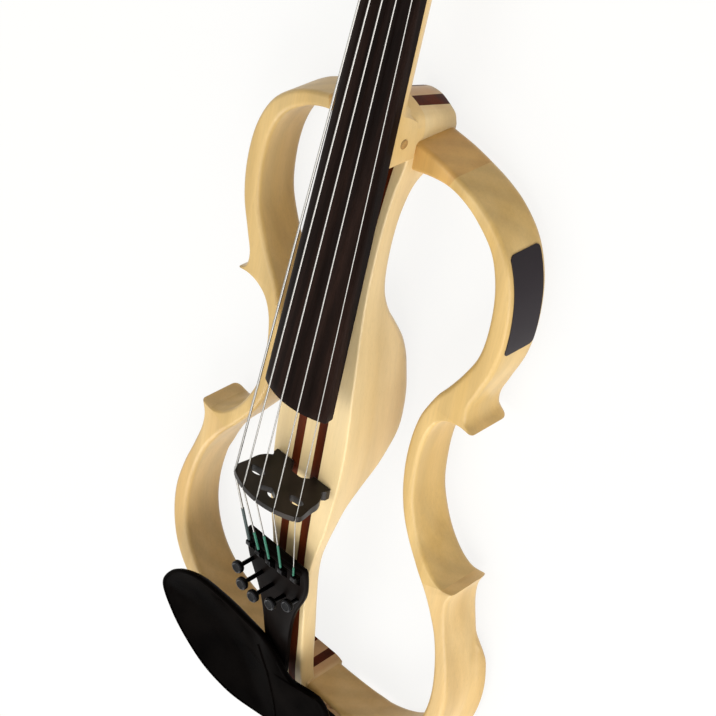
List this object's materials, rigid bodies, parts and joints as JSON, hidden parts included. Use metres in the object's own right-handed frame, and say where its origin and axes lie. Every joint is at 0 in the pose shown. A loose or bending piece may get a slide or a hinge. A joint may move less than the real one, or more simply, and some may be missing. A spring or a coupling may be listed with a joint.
{
  "type": "electric violin",
  "caption": "Electric violin: open wooden frame around a striped core, with fingerboard, pegs, bridge, tailpiece with fine tuners, chinrest, volume knob and output jack.",
  "frame": {"origin": "middle of the underside of the violin's bounding box, with the instrument lying on its back", "axes": "+Y along the strings from the tail to the scroll, +X to the side of the highest string, +Z from the back to the strings"},
  "size_m": [0.212, 0.599, 0.0805],
  "materials": {
    "maple": "satin clear finish over pale maple",
    "dark_stripe": "satin clear finish over dark red-brown wood",
    "ebony": "oiled near-black wood",
    "black_plastic": "satin black",
    "steel": "bright plated steel",
    "black_metal": "satin black",
    "string_steel": "flat-wound bright steel",
    "cork": "raw cork",
    "cord": "smooth black cord",
    "circuit_board": "dark green lacquer"
  },
  "bodies": {
    "violin": {"bass_core": "maple", "bass_lower_frame": "maple", "bass_pickup": "steel", "bass_shoulder": "maple", "bass_stripe": "dark_stripe", "bass_upper_frame": "maple", "bridge": "black_plastic", "centre_core": "maple", "chinrest": "black_plastic", "chinrest_cork_bass": "cork", "chinrest_cork_treble": "cork", "chinrest_stud_bass": "steel", "chinrest_stud_treble": "steel", "circuit_board": "circuit_board", "clamp_foot": "steel", "clamp_foot_cork": "cork", "control_plate": "black_plastic", "end_pin": "ebony", "fingerboard": "ebony", "neck": "maple", "neck_dowel": "maple", "nut": "ebony", "output_jack": "steel", "plate_screw_1": "black_metal", "plate_screw_2": "black_metal", "plate_screw_3": "black_metal", "plate_screw_4": "black_metal", "saddle": "ebony", "string_a": "string_steel", "string_c": "string_steel", "string_d": "string_steel", "string_e": "string_steel", "string_g": "string_steel", "tail_gut": "cord", "tailpiece": "black_plastic", "treble_core": "maple", "treble_lower_frame": "maple", "treble_pickup": "steel", "treble_shoulder": "maple", "treble_stripe": "dark_stripe", "treble_upper_frame": "maple", "volume_pot": "steel"},
    "peg_c_body": {"peg_c": "ebony"},
    "peg_g_body": {"peg_g": "ebony"},
    "peg_d_body": {"peg_d": "ebony"},
    "peg_a_body": {"peg_a": "ebony"},
    "peg_e_body": {"peg_e": "ebony"},
    "tuner_screw_1_body": {"tuner_screw_1": "black_metal"},
    "tuner_screw_2_body": {"tuner_screw_2": "black_metal"},
    "tuner_screw_3_body": {"tuner_screw_3": "black_metal"},
    "tuner_screw_4_body": {"tuner_screw_4": "black_metal"},
    "tuner_screw_5_body": {"tuner_screw_5": "black_metal"},
    "tuner_lever_1_body": {"tuner_lever_1": "black_metal"},
    "tuner_lever_2_body": {"tuner_lever_2": "black_metal"},
    "tuner_lever_3_body": {"tuner_lever_3": "black_metal"},
    "tuner_lever_4_body": {"tuner_lever_4": "black_metal"},
    "tuner_lever_5_body": {"tuner_lever_5": "black_metal"},
    "volume_knob_body": {"volume_knob": "black_plastic"},
    "clamp_barrel_bass_body": {"clamp_barrel_bass": "steel"},
    "clamp_barrel_treble_body": {"clamp_barrel_treble": "steel"}
  },
  "joints": [
    {"name": "peg_c_turn", "type": "hinge", "parent": "violin", "child": "peg_c_body", "pos_m": [0, 0.21552, 0.0324], "axis": [1, 0, 0], "continuous": true},
    {"name": "peg_g_turn", "type": "hinge", "parent": "violin", "child": "peg_g_body", "pos_m": [0, 0.24052, 0.02815], "axis": [1, 0, 0], "continuous": true},
    {"name": "peg_d_turn", "type": "hinge", "parent": "violin", "child": "peg_d_body", "pos_m": [0, 0.26552, 0.0239], "axis": [1, 0, 0], "continuous": true},
    {"name": "peg_a_turn", "type": "hinge", "parent": "violin", "child": "peg_a_body", "pos_m": [0, 0.25302, 0.02602], "axis": [1, 0, 0], "continuous": true},
    {"name": "peg_e_turn", "type": "hinge", "parent": "violin", "child": "peg_e_body", "pos_m": [0, 0.22802, 0.03027], "axis": [1, 0, 0], "continuous": true},
    {"name": "tuner_1_turn", "type": "hinge", "parent": "violin", "child": "tuner_screw_1_body", "pos_m": [-0.0162, -0.19448, 0.065], "axis": [0, 0, 1], "range_deg": [0, 1080]},
    {"name": "tuner_1_lever", "type": "hinge", "parent": "violin", "child": "tuner_lever_1_body", "pos_m": [-0.0162, -0.18248, 0.05288], "axis": [1, 0, 0], "range_deg": [0, 3.1]},
    {"name": "tuner_2_turn", "type": "hinge", "parent": "violin", "child": "tuner_screw_2_body", "pos_m": [-0.0081, -0.19748, 0.0692], "axis": [0, 0, 1], "range_deg": [0, 1080]},
    {"name": "tuner_2_lever", "type": "hinge", "parent": "violin", "child": "tuner_lever_2_body", "pos_m": [-0.0081, -0.18248, 0.054], "axis": [1, 0, 0], "range_deg": [0, 3.1]},
    {"name": "tuner_3_turn", "type": "hinge", "parent": "violin", "child": "tuner_screw_3_body", "pos_m": [0, -0.20008, 0.0688], "axis": [0, 0, 1], "range_deg": [0, 1080]},
    {"name": "tuner_3_lever", "type": "hinge", "parent": "violin", "child": "tuner_lever_3_body", "pos_m": [0, -0.18248, 0.05437], "axis": [1, 0, 0], "range_deg": [0, 3.1]},
    {"name": "tuner_4_turn", "type": "hinge", "parent": "violin", "child": "tuner_screw_4_body", "pos_m": [0.0081, -0.20208, 0.0638], "axis": [0, 0, 1], "range_deg": [0, 1080]},
    {"name": "tuner_4_lever", "type": "hinge", "parent": "violin", "child": "tuner_lever_4_body", "pos_m": [0.0081, -0.18248, 0.054], "axis": [1, 0, 0], "range_deg": [0, 3.1]},
    {"name": "tuner_5_turn", "type": "hinge", "parent": "violin", "child": "tuner_screw_5_body", "pos_m": [0.0162, -0.19898, 0.0604], "axis": [0, 0, 1], "range_deg": [0, 1080]},
    {"name": "tuner_5_lever", "type": "hinge", "parent": "violin", "child": "tuner_lever_5_body", "pos_m": [0.0162, -0.18248, 0.05288], "axis": [1, 0, 0], "range_deg": [0, 3.1]},
    {"name": "volume_turn", "type": "hinge", "parent": "violin", "child": "volume_knob_body", "pos_m": [-0.0206, -0.08418, 0.0294], "axis": [-1, 0, 0], "range_deg": [0, 300]},
    {"name": "clamp_bass_turn", "type": "hinge", "parent": "violin", "child": "clamp_barrel_bass_body", "pos_m": [-0.022, -0.29388, 0.0174], "axis": [0, 0, 1], "continuous": true},
    {"name": "clamp_treble_turn", "type": "hinge", "parent": "violin", "child": "clamp_barrel_treble_body", "pos_m": [0.022, -0.29388, 0.0174], "axis": [0, 0, 1], "continuous": true}
  ],
  "couplings": [
    {"joint": "tuner_1_lever", "follows": "tuner_1_turn", "ratio": 0.0028},
    {"joint": "tuner_2_lever", "follows": "tuner_2_turn", "ratio": 0.0028},
    {"joint": "tuner_3_lever", "follows": "tuner_3_turn", "ratio": 0.0028},
    {"joint": "tuner_4_lever", "follows": "tuner_4_turn", "ratio": 0.0028},
    {"joint": "tuner_5_lever", "follows": "tuner_5_turn", "ratio": 0.0028}
  ]
}
